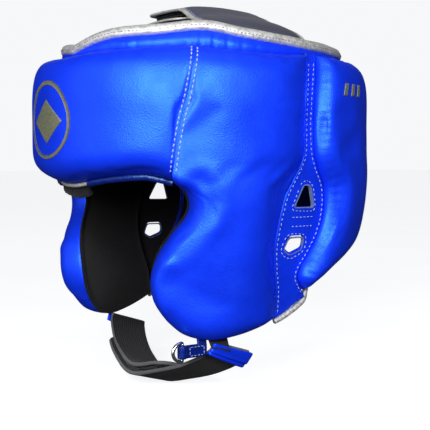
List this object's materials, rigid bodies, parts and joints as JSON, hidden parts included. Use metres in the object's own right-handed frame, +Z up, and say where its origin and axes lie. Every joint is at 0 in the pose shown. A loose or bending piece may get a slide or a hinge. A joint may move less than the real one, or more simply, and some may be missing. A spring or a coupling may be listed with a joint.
{
  "type": "boxing headgear",
  "caption": "Padded boxing headgear in a child's size, with cheek pads, ear panels, overlapping crown wings, a rear closure strap and a chin strap under an open face.",
  "frame": {"origin": "centre of the head cavity, level with the brow pad's lower edge", "axes": "+Z up towards the crown, the open face looks along -Y, the wearer's left is +X"},
  "size_m": [0.1842, 0.2206, 0.2291],
  "materials": {
    "blue_leather": "glossy metallic-look coated leather with fine grain",
    "black_lining": "matt brushed lining",
    "foam_core": "closed-cell foam, hidden",
    "silver_binding": "crinkled metallic silver binding",
    "silver_emblem": "flat metallic silver print film",
    "dark_silver_leather": "satin pearl grey coated leather",
    "black_webbing": "woven webbing with grey edging",
    "hook_and_loop": "matt hook and loop tape",
    "chrome_ring": "polished wire"
  },
  "bodies": {
    "shell": {"front_cover": "blue_leather", "front_foam": "foam_core", "front_liner": "black_lining", "left_side_cover": "blue_leather", "left_side_foam": "foam_core", "left_side_liner": "black_lining", "left_rear_cover": "blue_leather", "left_rear_foam": "foam_core", "left_rear_liner": "black_lining", "right_side_cover": "blue_leather", "right_side_foam": "foam_core", "right_side_liner": "black_lining", "right_rear_cover": "blue_leather", "right_rear_foam": "foam_core", "right_rear_liner": "black_lining", "left_ear_panel": "blue_leather", "right_ear_panel": "blue_leather", "left_lower_binding": "silver_binding", "right_lower_binding": "silver_binding", "brow_binding": "silver_binding", "top_flange": "blue_leather", "top_trim": "silver_binding", "rear_gusset": "blue_leather", "rear_strap_root": "blue_leather", "rear_strap_loop": "hook_and_loop", "left_crown_root": "dark_silver_leather", "right_crown_wing": "dark_silver_leather", "crown_loop": "hook_and_loop", "chin_strap_root": "black_webbing", "inner_chin_strap": "black_webbing", "inner_chin_strap_loop": "hook_and_loop", "left_strap_sleeve": "blue_leather", "right_strap_sleeve": "blue_leather", "ring_tab": "blue_leather", "emblem_ring": "silver_emblem", "emblem_lozenge": "silver_emblem"},
    "crown_wing": {"left_crown_wing": "dark_silver_leather", "crown_hook": "hook_and_loop"},
    "rear_strap": {"rear_strap": "blue_leather", "rear_strap_hook": "hook_and_loop"},
    "chin_strap": {"chin_strap": "black_webbing", "chin_strap_hook": "hook_and_loop"},
    "chin_ring": {"chin_ring": "chrome_ring"}
  },
  "joints": [
    {"name": "crown_wing_peel", "type": "hinge", "parent": "shell", "child": "crown_wing", "pos_m": [0.04445, -0.011, 0.0984], "axis": [0, 1, 0], "range_deg": [0, 115]},
    {"name": "rear_strap_peel", "type": "hinge", "parent": "shell", "child": "rear_strap", "pos_m": [0.02475, 0.1014, 0.03], "axis": [0, 0, -1], "range_deg": [0, 130]},
    {"name": "chin_strap_swing", "type": "hinge", "parent": "shell", "child": "chin_strap", "pos_m": [0.0588, -0.0302, -0.0993], "axis": [0.1369, -0.9106, 0.3898], "range_deg": [0, 80]},
    {"name": "ring_swing", "type": "hinge", "parent": "shell", "child": "chin_ring", "pos_m": [0.06, -0.06, -0.092], "axis": [0, 0, 1], "range_deg": [-50, 50]}
  ]
}
